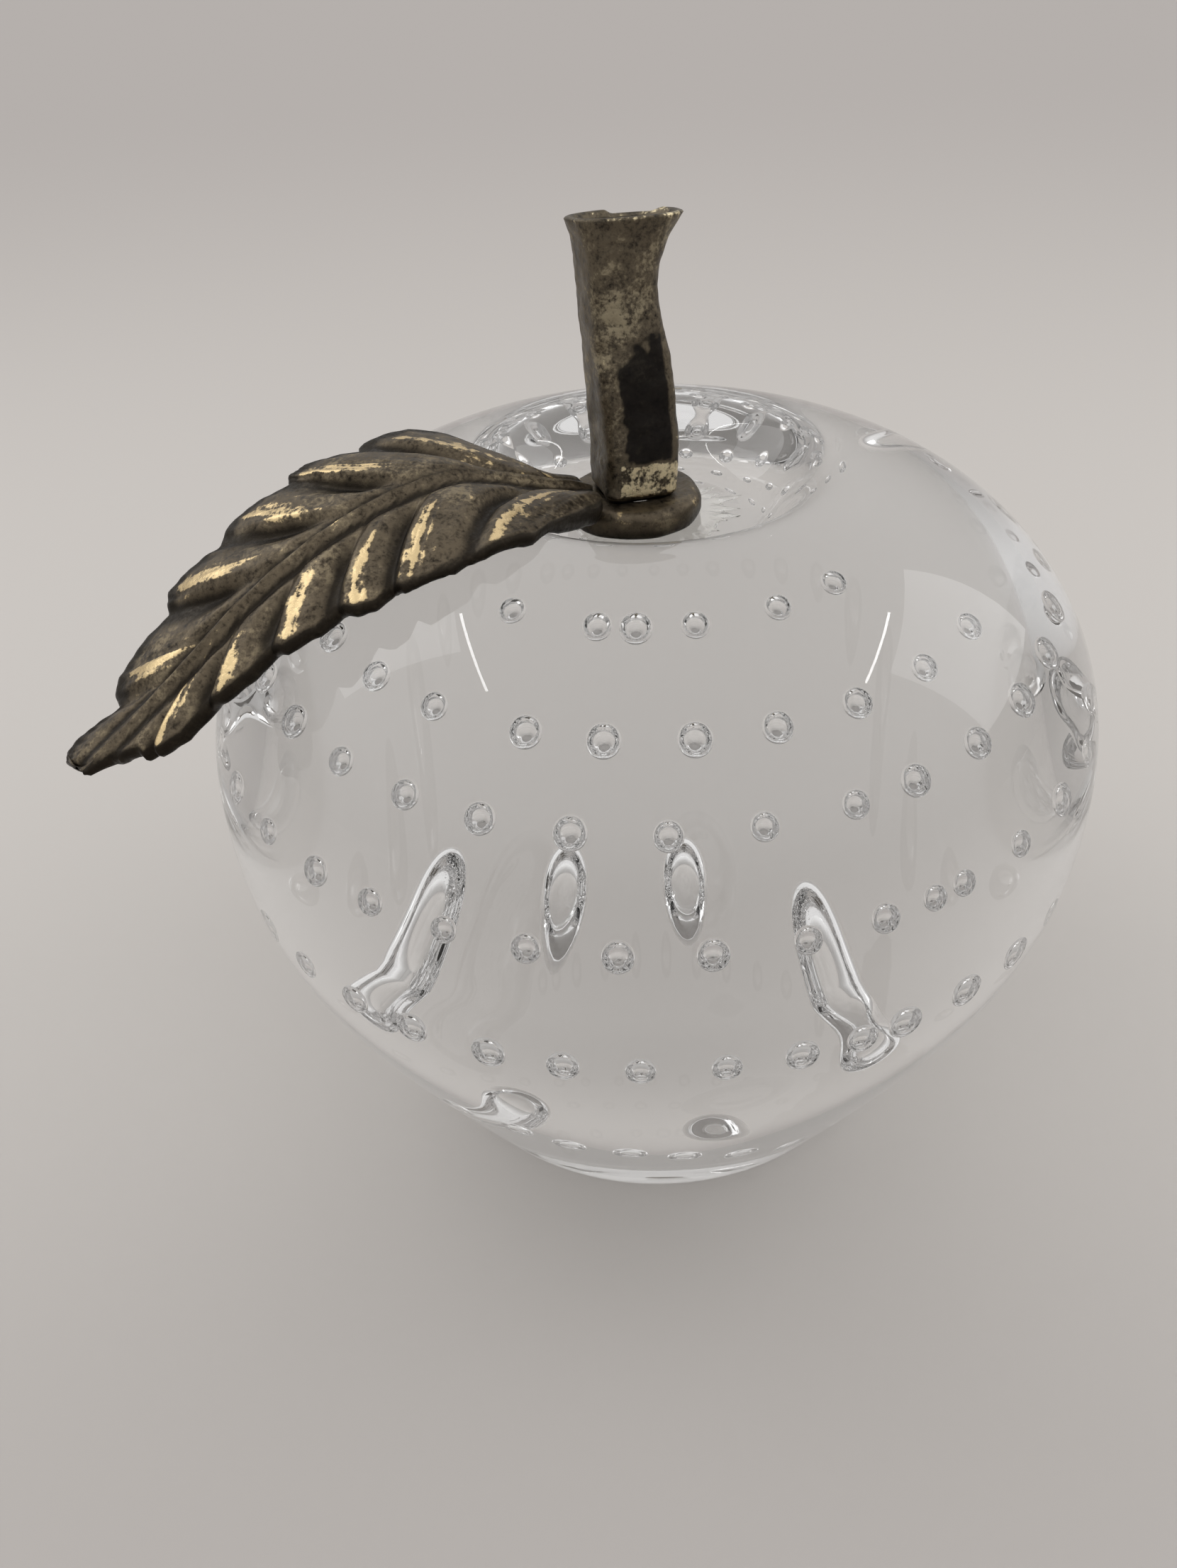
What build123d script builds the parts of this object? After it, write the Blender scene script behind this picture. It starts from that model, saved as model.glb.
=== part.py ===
from build123d import *
from math import cos, pi, radians, sin, tan
import os

# An apple of solid clear glass with rings of trapped air bubbles. A cast brass stem and leaf
# stand in the dimple at its top, held by a bead of clear glue.
# Millimetres. The origin is the middle of the polished foot, +Z is up and the viewer is at -Y.

# Driving sizes of the glass body
body_diameter = 85.0
foot_diameter = 48.5
equator_height = 42.0
crown_height = 69.2
crown_diameter = 35.0
dimple_depth = 5.4
foot_edge_radius = 0.6

# Air bubbles
bubble_diameter = 3.0
bubble_depth = 6.8
bubble_sides = 6
bubble_cap_share = 0.5

# Cast leaf: the eye that the stem passes through, and the blade that arches over the shoulder
eye_diameter = 12.2
eye_thickness = 2.5
eye_hole_diameter = 5.4
eye_edge_radius = 0.5
leaf_length = 52.4
leaf_half_width = 10.4
leaf_thickness = 1.7
leaf_edge_thickness = 0.9
leaf_lift = 2.7
leaf_turn = 30.0
leaf_roll = 6.0
vein_groove_depth = 0.8
vein_groove_width = 2.1
vein_lift = 0.4
midrib_diameter = 1.1

# Stem
stem_offset = -1.2
stem_length = 22.9
stem_side = 6.8
stem_corner_radius = 1.4
stem_turn = 19.0
mouth_width = 9.8
mouth_depth = 8.0
mouth_corner_radius = 3.4
mouth_wall = 0.9
mouth_dish_depth = 2.6
mouth_dish_diameter = 3.4
mouth_lean = 8.5
spigot_clearance = 0.2

# Glue under the eye
glue_thickness = 0.4
glue_rim = 1.2
glue_margin = 0.3

os.makedirs("parts", exist_ok=True)

# Places that follow from the driving sizes
body_radius = body_diameter / 2
foot_radius = foot_diameter / 2
crown_radius = crown_diameter / 2
glue_diameter = eye_diameter + 2 * glue_rim
dimple_floor_radius = glue_diameter / 2 + abs(stem_offset) + glue_margin
dimple_floor_height = crown_height - dimple_depth
eye_bottom_height = dimple_floor_height + glue_thickness
eye_top_height = eye_bottom_height + eye_thickness
leaf_rise = crown_height - eye_top_height + leaf_lift


# Glass body: the wall is two curves that meet upright at the equator
belly_reach_share = 0.83
belly_rise_share = 0.58
belly_upright_share = 0.29
shoulder_upright_share = 0.725
shoulder_reach_share = 0.23
dimple_ease_share = 0.45

shoulder_height = crown_height - equator_height
shoulder_width = body_radius - crown_radius
dimple_width = crown_radius - dimple_floor_radius

with BuildPart() as glass_body:
    with BuildSketch(Plane.XZ):
        with BuildLine():
            Line((0, dimple_floor_height), (0, 0))
            Line((0, 0), (foot_radius, 0))
            belly = Bezier(
                (foot_radius, 0),
                (foot_radius + belly_reach_share * (body_radius - foot_radius),
                 belly_rise_share * equator_height),
                (body_radius, equator_height * (1 - belly_upright_share)),
                (body_radius, equator_height),
            )
            shoulder = Bezier(
                (body_radius, equator_height),
                (body_radius, equator_height + shoulder_upright_share * shoulder_height),
                (crown_radius + shoulder_reach_share * shoulder_width, crown_height),
                (crown_radius, crown_height),
            )
            Bezier(
                (crown_radius, crown_height),
                (crown_radius - dimple_ease_share * dimple_width, crown_height),
                (dimple_floor_radius + dimple_ease_share * dimple_width, dimple_floor_height),
                (dimple_floor_radius, dimple_floor_height),
            )
            Line((dimple_floor_radius, dimple_floor_height), (0, dimple_floor_height))
        make_face()
    revolve(axis=Axis.Z)
    fillet(glass_body.edges().filter_by(GeomType.CIRCLE).sort_by(Axis.Z)[0], foot_edge_radius)


# One bubble, as a ball with flat sides so that all of them together stay light
bubble_radius = bubble_diameter / 2
bubble_half_height = bubble_radius * cos(pi / bubble_sides)

with BuildPart() as bubble:
    for level, radius in (
        (-bubble_half_height, bubble_cap_share * bubble_radius),
        (0, bubble_radius),
        (bubble_half_height, bubble_cap_share * bubble_radius),
    ):
        with BuildSketch(Plane.XY.offset(level)):
            RegularPolygon(radius, bubble_sides)
    loft(ruled=True)


# Rings of bubbles: the curve, the share of the way along it, the depth as a share of the usual one,
# the near bubbles as shares of a turn from the front, and how many more go round behind them
ring_shares = (
    (belly, 0.175, 0.82, (0.436, 0.486, 0.540, 0.586), 0),
    (belly, 0.235, 1.0, (0.165, 0.220, 0.272, 0.325, 0.382), 0),
    (belly, 0.235, 1.0, (0.633, 0.684, 0.738, 0.790, 0.846), 0),
    (belly, 0.295, 1.0, (-0.103, -0.071, -0.044, -0.014, 0.015, 0.047, 0.083, 0.117), 0),
    (belly, 0.745, 1.0, (-0.120, -0.092, -0.061, -0.033, -0.006, 0.025, 0.052, 0.075, 0.093), 26),
    (shoulder, 0.06, 1.0, (-0.130, -0.103, -0.072, -0.043, -0.012, 0.019, 0.051, 0.079, 0.100, 0.113), 24),
    (shoulder, 0.36, 1.0, (-0.095, -0.063, -0.029, 0.006, 0.040, 0.075, 0.101), 23),
    (shoulder, 0.585, 1.0, (-0.097, -0.053, -0.019, 0.018, 0.053, 0.091), 21),
    (shoulder, 0.87, 1.0, (-0.086, -0.031, -0.008, 0.027, 0.080, 0.124), 18),
)


def ring_places(curve, share, depth_share, turn_shares, rest):
    """Return the places of one ring of bubbles, hand-set in front and even round the back."""
    along = (curve % share).normalized()
    inward = Vector(-along.Y, along.X)
    middle = curve @ share + inward * bubble_depth * depth_share
    step = (1 + turn_shares[0] - turn_shares[-1]) / (rest + 1)
    turns = [*turn_shares, *(turn_shares[-1] + step * (number + 1) for number in range(rest))]
    angles = [2 * pi * turn - pi / 2 for turn in turns]
    return [(middle.X * cos(angle), middle.X * sin(angle), middle.Y) for angle in angles]


bubble_places = [place for ring in ring_shares for place in ring_places(*ring)]

with BuildPart() as pierced_body:
    add(glass_body.part)
    with Locations(*bubble_places):
        add(bubble.part, mode=Mode.SUBTRACT)
pierced_body.part.label = "glass_body"
export_step(pierced_body.part, "parts/glass_body.step")


# Glue: a low round bead on the dimple's floor that the eye is bedded on
eye_bottom_plane = Plane((stem_offset, 0, eye_bottom_height))

with BuildPart() as glue_bead:
    with BuildSketch(Plane((stem_offset, 0, dimple_floor_height))):
        Circle(glue_diameter / 2)
    extrude(amount=glue_thickness)
    fillet(glue_bead.edges().group_by(Axis.Z)[-1], glue_thickness / 2)
glue_bead.part.label = "glue_bead"
export_step(glue_bead.part, "parts/glue_bead.step")


# Leaf: sections across the blade, from the root beside the stem to the tip. Each row is a share of
# the length, the rise of the crest above the eye as a share of the leaf's rise, the half width
# towards the viewer and away as shares of the largest, and the thickness as a share of the blade's
section_shares = (
    (0.098, 0.32, 0.41, 0.26, 1.40),
    (0.17, 0.52, 0.55, 0.40, 1.15),
    (0.25, 0.80, 0.82, 0.80, 1.00),
    (0.34, 1.03, 1.00, 0.98, 1.00),
    (0.45, 0.90, 1.01, 1.00, 1.00),
    (0.57, 0.50, 0.92, 1.04, 1.00),
    (0.70, -0.22, 0.73, 1.00, 1.00),
    (0.82, -1.12, 0.61, 0.80, 0.95),
    (0.92, -1.81, 0.48, 0.47, 0.90),
    (0.975, -2.20, 0.29, 0.31, 0.85),
    (1.00, -2.36, 0.12, 0.15, 0.70),
)
front_camber_share = 0.10
back_camber_share = 0.02
root_camber_share = 0.2
full_camber_share = 0.45

# Veins on the two sides: the share of the crest where each leaves the midrib, how far towards the
# tip it sweeps as a share of the crest, and how far out it runs as a share of the half width
front_vein_shares = (
    (0.00, 0.34, 1.12),
    (0.25, 0.25, 1.08),
    (0.37, 0.25, 1.00),
    (0.48, 0.29, 0.86),
    (0.60, 0.33, 0.71),
    (0.71, 0.37, 0.52),
)
back_vein_shares = (
    (0.00, 0.37, 1.04),
    (0.27, 0.23, 1.12),
    (0.39, 0.28, 1.08),
    (0.55, 0.25, 0.94),
    (0.75, 0.27, 0.46),
)
vein_bend = 0.58

# Sections along a vein: the share of its reach, and the groove's width and depth as shares. The
# last is deeper than the edge is thick, so that each groove ends in a notch between two lobes
groove_shares = (
    (0.08, 0.45, 0.50),
    (0.28, 0.60, 0.70),
    (0.60, 0.80, 0.85),
    (1.00, 1.70, 2.60),
)
midrib_shares = (0.0, 0.25, 0.5, 0.75, 0.96)
midrib_taper_share = 0.5

leaf_frame = Plane(
    (stem_offset, 0, eye_top_height),
    x_dir=(-cos(radians(leaf_turn)), -sin(radians(leaf_turn)), 0),
    z_dir=(0, 0, 1),
)
leaf_side = leaf_frame.y_dir
leaf_origin = Vector(leaf_frame.origin)


def leaf_point(run, across, height):
    """Return the place of a point given along the leaf, across it and above the eye."""
    return leaf_origin + leaf_frame.x_dir * run + leaf_side * across + Vector(0, 0, height)


crest_points = [
    leaf_point(run * leaf_length, 0, rise * leaf_rise) for run, rise, _, _, _ in section_shares
]
with BuildLine() as crest:
    crest_line = Spline(*crest_points)


def crest_plane(share):
    """Return the plane across the blade at a share of the crest, with X towards the viewer."""
    return Plane(crest_line @ share, x_dir=leaf_side, z_dir=crest_line % share)


def camber(share, across):
    """Return how far the rolled face falls below the crest, at a share of it and a distance across."""
    side_share = front_camber_share if across > 0 else back_camber_share
    fullness = root_camber_share + (1 - root_camber_share) * min(1, share / full_camber_share)
    roll = across * tan(radians(leaf_roll))
    return fullness * (roll + side_share * across * across / leaf_half_width)


def vein_point(start, sweep, reach, side):
    """Return a vein's place on the blade at a reach across it, and the blade's upward direction."""
    share = start + sweep * reach ** vein_bend
    across = side * reach * leaf_half_width
    upward = (crest_line % share).cross(leaf_side)
    return crest_line @ share + leaf_side * across - upward * camber(share, across), upward


with BuildPart() as leaf:
    with BuildSketch(eye_bottom_plane):
        Circle(eye_diameter / 2)
    extrude(amount=eye_thickness)
    fillet(leaf.edges().filter_by(GeomType.CIRCLE), eye_edge_radius)
    for point, (_, _, front_share, back_share, thickness_share) in zip(crest_points, section_shares):
        share = crest_line.param_at_point(point)
        front = front_share * leaf_half_width
        back = back_share * leaf_half_width
        top_front = (front, -camber(share, front))
        top_back = (-back, -camber(share, -back))
        low_front = (front, -camber(share, front) - leaf_edge_thickness)
        low_back = (-back, -camber(share, -back) - leaf_edge_thickness)
        with BuildSketch(crest_plane(share)):
            with BuildLine():
                ThreePointArc(top_back, (0, 0), top_front)
                Line(top_front, low_front)
                ThreePointArc(low_front, (0, -thickness_share * leaf_thickness), low_back)
                Line(low_back, top_back)
            make_face()
    loft()
    for side, vein_shares in ((1, front_vein_shares), (-1, back_vein_shares)):
        for start, sweep, reach in vein_shares:
            places = [vein_point(start, sweep, reach * out, side) for out, _, _ in groove_shares]
            with BuildLine(mode=Mode.PRIVATE):
                vein_line = Spline(*(place for place, _ in places))
            for (place, upward), (_, width_share, depth_share) in zip(places, groove_shares):
                way_out = vein_line % vein_line.param_at_point(place)
                half_width = width_share * vein_groove_width / 2
                with BuildSketch(Plane(place, x_dir=way_out.cross(upward), z_dir=way_out)):
                    with BuildLine():
                        Polyline(
                            (-half_width, vein_lift),
                            (half_width, vein_lift),
                            (0, -depth_share * vein_groove_depth),
                            close=True,
                        )
                    make_face()
            loft(ruled=True, mode=Mode.SUBTRACT)
    for share in midrib_shares:
        with BuildSketch(crest_plane(share)):
            Circle(midrib_diameter / 2 * (1 - midrib_taper_share * share))
    loft()
    with BuildSketch(eye_bottom_plane):
        Circle(eye_hole_diameter / 2)
    extrude(amount=eye_thickness + leaf_rise, mode=Mode.SUBTRACT)
leaf.part.label = "leaf"
export_step(leaf.part, "parts/leaf.step")


# Stem: turned sections up a column that leans away from the viewer and swells to a dished mouth.
# Each row is a share of the length, the shift to the right and away as shares of the side, and the
# two sides and the corner as shares of the way from the foot's to the mouth's
stem_shares = (
    (0.0, 0.0, 0.0, 0.0, 0.0),
    (0.20, 0.02, 0.02, 0.0, 0.0),
    (0.44, -0.04, 0.09, 0.0, 0.0),
    (0.69, -0.15, 0.22, -0.23, 0.05),
    (0.88, -0.14, 0.33, 0.10, 0.35),
    (1.0, -0.05, 0.40, 1.0, 1.0),
)
stem_x = Vector(cos(radians(stem_turn)), sin(radians(stem_turn)), 0)
stem_points = [
    Vector(stem_offset + right * stem_side, away * stem_side, eye_top_height + up * stem_length)
    for up, right, away, _, _ in stem_shares
]
with BuildLine() as stem_line:
    stem_path = Spline(*stem_points, tangents=((0, 0, 1), (0, tan(radians(mouth_lean)), 1)))


def between(share, low, high):
    """Return the value a share of the way from low to high."""
    return low + share * (high - low)


with BuildPart() as stem:
    for point, (_, _, _, swell, roundness) in zip(stem_points, stem_shares):
        upward = stem_path % stem_path.param_at_point(point)
        with BuildSketch(Plane(point, x_dir=stem_x - upward * stem_x.dot(upward), z_dir=upward)):
            RectangleRounded(
                between(swell, stem_side, mouth_width),
                between(swell, stem_side, mouth_depth),
                between(roundness, stem_corner_radius, mouth_corner_radius),
            )
    loft()
    mouth_plane = Plane(
        stem_points[-1], x_dir=stem_x - upward * stem_x.dot(upward), z_dir=upward
    )
    with BuildSketch(mouth_plane):
        RectangleRounded(
            mouth_width - 2 * mouth_wall,
            mouth_depth - 2 * mouth_wall,
            mouth_corner_radius - mouth_wall,
        )
    with BuildSketch(mouth_plane.offset(-mouth_dish_depth)):
        Circle(mouth_dish_diameter / 2)
    loft(mode=Mode.SUBTRACT)
    with BuildSketch(eye_bottom_plane):
        Circle(eye_hole_diameter / 2 - spigot_clearance)
    extrude(amount=eye_thickness)
stem.part.label = "stem"
export_step(stem.part, "parts/stem.step")
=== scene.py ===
from math import atan, cos, hypot, pi, radians, sin

import bpy
from mathutils import Matrix, Vector, noise


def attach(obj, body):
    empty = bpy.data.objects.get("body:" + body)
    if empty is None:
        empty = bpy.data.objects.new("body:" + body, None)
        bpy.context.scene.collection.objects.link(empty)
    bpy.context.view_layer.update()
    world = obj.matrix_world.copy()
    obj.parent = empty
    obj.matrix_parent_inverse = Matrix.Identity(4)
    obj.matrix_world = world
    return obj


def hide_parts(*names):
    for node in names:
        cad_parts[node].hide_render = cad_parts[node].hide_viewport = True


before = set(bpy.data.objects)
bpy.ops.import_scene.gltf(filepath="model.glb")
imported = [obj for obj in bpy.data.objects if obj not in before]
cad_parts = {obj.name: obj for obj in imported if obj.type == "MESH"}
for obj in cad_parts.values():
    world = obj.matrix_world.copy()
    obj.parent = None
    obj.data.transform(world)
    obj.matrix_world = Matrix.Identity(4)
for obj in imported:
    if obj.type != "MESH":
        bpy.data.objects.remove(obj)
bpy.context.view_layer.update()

# The glass apple's visual model: clear glass with bubbles, and a leaf and a stem of brass, glued
# on. It is worked out in millimetres, in the frame of the CAD part, and written to the meshes in
# metres.
MM = 0.001

# Sizes of the CAD part that the new pieces repeat
BODY_RADIUS = 42.5
FOOT_RADIUS = 24.25
EQUATOR_HEIGHT = 42.0
CROWN_HEIGHT = 69.2
CROWN_RADIUS = 17.5
DIMPLE_FLOOR_RADIUS = 8.8
DIMPLE_FLOOR_HEIGHT = 63.8
FOOT_EDGE = 0.6
BUBBLE_DEPTH = 6.8
BUBBLE_VARIATION = 0.13
GLASS_SIDES = 256
BUBBLE_SIDES = 24
BUBBLE_ROWS = 16
EYE_BOTTOM = 64.2
EYE_TOP = 66.7
EYE_RADIUS = 6.1
EYE_HOLE_RADIUS = 2.8
STEM_X = -1.2
STEM_LENGTH = 22.9
STEM_TURN = radians(19)
LEAF_TURN = radians(30)
LEAF_LENGTH = 52.4
HALF_WIDTH = 10.4
BLADE_START = 5.1
ROLL_GROWTH = 21.285
LEAF_ROLL = 0.105
FRONT_CAMBER = 0.10
BACK_CAMBER = 0.02


def new_object(name, mesh, material):
    """Return an object of the mesh, in the scene, with a material."""
    thing = bpy.data.objects.new(name, mesh)
    bpy.context.scene.collection.objects.link(thing)
    mesh.materials.append(material)
    return thing


def dress(name, material):
    """Give a CAD piece the material of the piece that replaces it."""
    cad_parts[name].data.materials.clear()
    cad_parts[name].data.materials.append(material)


def mesh_of(name, verts, faces):
    """Make a smooth mesh in metres from vertices in millimetres."""
    mesh = bpy.data.meshes.new(name)
    mesh.from_pydata([(x * MM, y * MM, z * MM) for x, y, z in verts], [], faces)
    mesh.shade_smooth()
    return mesh


def paint(mesh, looks):
    """Store how rubbed and lit and how dark each vertex is: the rubbed gold and a painted
    highlight, and the patina, painted shade and a painted dark reflection.
    """
    for index, name in enumerate(("rubbed_and_highlight", "dark")):
        layer = mesh.attributes.new(name, "FLOAT", "POINT")
        layer.data.foreach_set("value", [look[index] for look in looks])


def band_faces(rows, count):
    """Return the faces between rings of vertices that lie one above the other."""
    faces = []
    for row in range(rows - 1):
        low, high = row * count, (row + 1) * count
        for k in range(count):
            n = (k + 1) % count
            faces.append((low + k, low + n, high + n, high + k))
    return faces


def closed_faces(rows, count):
    """Return the faces of a closed skin of rings, with one low and one high vertex after them."""
    faces = band_faces(rows, count)
    low, high = rows * count, rows * count + 1
    for k in range(count):
        n = (k + 1) % count
        faces.append((n, k, low))
        faces.append(((rows - 1) * count + k, (rows - 1) * count + n, high))
    return faces


def turned(profile, count):
    """Return the vertices and faces of a closed skin turned from a profile from axis to axis."""
    verts = []
    for r, z in profile[1:-1]:
        turns = [2 * pi * k / count for k in range(count)]
        verts += [(r * cos(turn), r * sin(turn), z) for turn in turns]
    verts += [(0, 0, profile[0][1]), (0, 0, profile[-1][1])]
    return verts, closed_faces(len(profile) - 2, count)


def table(rows, x):
    """Return the values at x, on straight lines between rows that start with their x."""
    if x <= rows[0][0]:
        return rows[0][1:]
    for low, high in zip(rows, rows[1:]):
        if x <= high[0]:
            t = (x - low[0]) / (high[0] - low[0])
            return tuple(p + t * (q - p) for p, q in zip(low[1:], high[1:]))
    return rows[-1][1:]


def ease(x, low, high):
    """Return 0 below low and 1 above high, with a smooth step between."""
    t = min(1, max(0, (x - low) / (high - low)))
    return t * t * (3 - 2 * t)


def bell(x, middle, width):
    """Return a smooth bell of height 1 about a middle."""
    return 2.718 ** -(((x - middle) / width) ** 2)


def bezier(a, b, c, d, count):
    """Return points along a curve of four control points."""
    points = []
    for i in range(count + 1):
        t = i / count
        w = ((1 - t) ** 3, 3 * t * (1 - t) ** 2, 3 * t * t * (1 - t), t ** 3)
        mixed = (w[0] * p + w[1] * q + w[2] * r + w[3] * s for p, q, r, s in zip(a, b, c, d))
        points.append(tuple(mixed))
    return points


def along(points, share):
    """Return the point and the direction at a share of a polyline's length."""
    steps = [hypot(q[0] - p[0], q[1] - p[1]) for p, q in zip(points, points[1:])]
    left = share * sum(steps)
    for p, q, step in zip(points, points[1:], steps):
        if left <= step:
            t = left / step
            way = ((q[0] - p[0]) / step, (q[1] - p[1]) / step)
            return (p[0] + t * (q[0] - p[0]), p[1] + t * (q[1] - p[1])), way
        left -= step
    return points[-1], way


def smooth(rows, x):
    """Return the row of values at x, on smooth curves through rows that start with their x."""
    if x <= rows[0][0]:
        return rows[0][1:]
    if x >= rows[-1][0]:
        return rows[-1][1:]
    i = next(n for n in range(len(rows) - 1) if x <= rows[n + 1][0])
    low, high = rows[i], rows[i + 1]
    before, after = rows[max(i - 1, 0)], rows[min(i + 2, len(rows) - 1)]
    gap = high[0] - low[0]
    t = (x - low[0]) / gap
    values = []
    for k in range(1, len(low)):
        m0 = (high[k] - before[k]) / (high[0] - before[0]) * gap
        m1 = (after[k] - low[k]) / (after[0] - low[0]) * gap
        values.append(
            (2 * t ** 3 - 3 * t * t + 1) * low[k] + (t ** 3 - 2 * t * t + t) * m0
            + (3 * t * t - 2 * t ** 3) * high[k] + (t ** 3 - t * t) * m1
        )
    return tuple(values)


# Materials

def node(tree, kind, **values):
    """Add a shader node, with properties by name and socket values by name."""
    made = tree.nodes.new(kind)
    for key, value in values.items():
        if hasattr(made, key):
            setattr(made, key, value)
        else:
            made.inputs[key.replace("_", " ")].default_value = value
    return made


def new_material(name):
    """Return an empty node material and its tree, output and object coordinates."""
    material = bpy.data.materials.new(name)
    material.use_nodes = True
    tree = material.node_tree
    tree.nodes.clear()
    out = node(tree, "ShaderNodeOutputMaterial")
    where = node(tree, "ShaderNodeTexCoord").outputs["Object"]
    return material, tree, out, where


def mix(tree, low, high, factor):
    """Return the output of a colour mix. Each input is a colour or an output."""
    made = tree.nodes.new("ShaderNodeMix")
    made.data_type = "RGBA"
    for index, value in ((6, low), (7, high), (0, factor)):
        if isinstance(value, bpy.types.NodeSocket):
            tree.links.new(value, made.inputs[index])
        else:
            made.inputs[index].default_value = (*value, 1) if index else value
    return made.outputs[2]


def maths(tree, operation, *values):
    """Return the output of a sum on numbers or outputs."""
    made = tree.nodes.new("ShaderNodeMath")
    made.operation = operation
    for index, value in enumerate(values):
        if isinstance(value, bpy.types.NodeSocket):
            tree.links.new(value, made.inputs[index])
        else:
            made.inputs[index].default_value = value
    return made.outputs[0]


def span(tree, value, low, high, to_low=0.0, to_high=1.0):
    """Return the output of a smooth remap from one span to another."""
    made = tree.nodes.new("ShaderNodeMapRange")
    made.interpolation_type = "SMOOTHSTEP"
    tree.links.new(value, made.inputs[0])
    for index, number in enumerate((low, high, to_low, to_high), 1):
        made.inputs[index].default_value = number
    return made.outputs[0]


def clouds(tree, where, scale, detail, rough=0.6):
    """Return the output of a noise, about 0.3 to 0.7."""
    made = node(tree, "ShaderNodeTexNoise", Scale=scale, Detail=detail, Roughness=rough)
    tree.links.new(where, made.inputs["Vector"])
    return made.outputs[0]


def glass_material(name):
    """Clear solid glass that darkens a little with its depth."""
    material, tree, out, _ = new_material(name)
    shader = node(tree, "ShaderNodeBsdfPrincipled")
    shader.inputs["Base Color"].default_value = (1, 1, 1, 1)
    shader.inputs["Roughness"].default_value = 0.0
    shader.inputs["IOR"].default_value = 1.5
    shader.inputs["Transmission Weight"].default_value = 1
    tree.links.new(shader.outputs["BSDF"], out.inputs["Surface"])
    depth = node(tree, "ShaderNodeVolumeAbsorption", Density=1.7)
    depth.inputs["Color"].default_value = (0, 0.01, 0.02, 1)
    tree.links.new(depth.outputs[0], out.inputs["Volume"])
    return material


# Glass body

BELLY = bezier(
    (FOOT_RADIUS, 0),
    (FOOT_RADIUS + 0.83 * (BODY_RADIUS - FOOT_RADIUS), 0.58 * EQUATOR_HEIGHT),
    (BODY_RADIUS, 0.71 * EQUATOR_HEIGHT),
    (BODY_RADIUS, EQUATOR_HEIGHT), 72,
)
SHOULDER_WIDTH = BODY_RADIUS - CROWN_RADIUS
SHOULDER = bezier(
    (BODY_RADIUS, EQUATOR_HEIGHT),
    (BODY_RADIUS, EQUATOR_HEIGHT + 0.725 * (CROWN_HEIGHT - EQUATOR_HEIGHT)),
    (CROWN_RADIUS + 0.23 * SHOULDER_WIDTH, CROWN_HEIGHT),
    (CROWN_RADIUS, CROWN_HEIGHT), 64,
)
DIMPLE_WIDTH = CROWN_RADIUS - DIMPLE_FLOOR_RADIUS
DIMPLE = bezier(
    (CROWN_RADIUS, CROWN_HEIGHT),
    (CROWN_RADIUS - 0.45 * DIMPLE_WIDTH, CROWN_HEIGHT),
    (DIMPLE_FLOOR_RADIUS + 0.45 * DIMPLE_WIDTH, DIMPLE_FLOOR_HEIGHT),
    (DIMPLE_FLOOR_RADIUS, DIMPLE_FLOOR_HEIGHT), 32,
)
GLASS_TOP = sorted(SHOULDER + DIMPLE[1:])

# Rings of bubbles: the curve, the share of it where the ring lies, the set bubbles as degrees from
# the front, how many more go round the rest, and the radius
RINGS = (
    (BELLY, 0.235, (59.4, 79.2, 97.9, 117.0, 137.5), 0, 1.45),
    (BELLY, 0.235, (227.9, 246.2, 265.7, 284.4, 304.6), 0, 1.45),
    (BELLY, 0.745, (-43.1, -33.3, -21.9, -11.9, -2.0, 8.9, 18.7, 27.1, 33.6), 26, 1.34),
    (SHOULDER, 0.06, (-46.7, -37.0, -26.1, -15.4, -4.3, 6.9, 18.4, 28.6, 35.9, 40.6), 24, 1.14),
    (SHOULDER, 0.36, (-34.2, -22.7, -10.5, 2.0, 14.3, 26.9, 36.4), 23, 1.22),
    (SHOULDER, 0.585, (-62.0, -48.0, -35.0, -19.0, -7.0, 6.5, 19.1, 32.7, 47.0, 61.0), 0, 1.22),
    (SHOULDER, 0.87, (-30.9, -11.1, -2.8, 9.8, 28.7, 44.5), 0, 1.2),
)

# Bubbles of the two lowest, uneven rings: the distance from the axis, the height, the degrees from
# the front and the radius
LOW_BUBBLES = (
    (26.9, 18.0, -37, 1.5), (26.9, 18.0, -25, 1.5), (26.0, 16.4, -16, 1.5), (25.6, 15.8, -5, 1.5),
    (25.0, 14.6, 5, 1.5), (23.3, 12.5, 17, 1.5), (22.2, 9.7, 30, 1.5), (23.0, 10.5, 42, 1.5),
    (23.9, 9.6, 194, 1.5), (23.6, 9.4, 175, 1.5), (25.8, 11.3, 211, 1.5), (24.3, 9.3, 156, 1.5),
)


def bubble_places():
    """Return the place and the radius of every bubble."""
    places = []
    for ring, (curve, share, front, rest, radius) in enumerate(RINGS):
        (wall_r, wall_z), (way_r, way_z) = along(curve, share)
        r, z = wall_r - way_z * BUBBLE_DEPTH, wall_z + way_r * BUBBLE_DEPTH
        step = (360 + front[0] - front[-1]) / (rest + 1)
        turns = list(front) + [front[-1] + step * (k + 1) for k in range(rest)]
        for k, turn in enumerate(turns):
            angle = radians(turn - 90)
            size = radius + BUBBLE_VARIATION * sin(7 * k * k + 3 * ring)
            places.append((Vector((r * cos(angle), r * sin(angle), z)), size))
    for r, z, turn, size in LOW_BUBBLES:
        angle = radians(turn - 90)
        places.append((Vector((r * cos(angle), r * sin(angle), z)), size))
    return places


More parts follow.
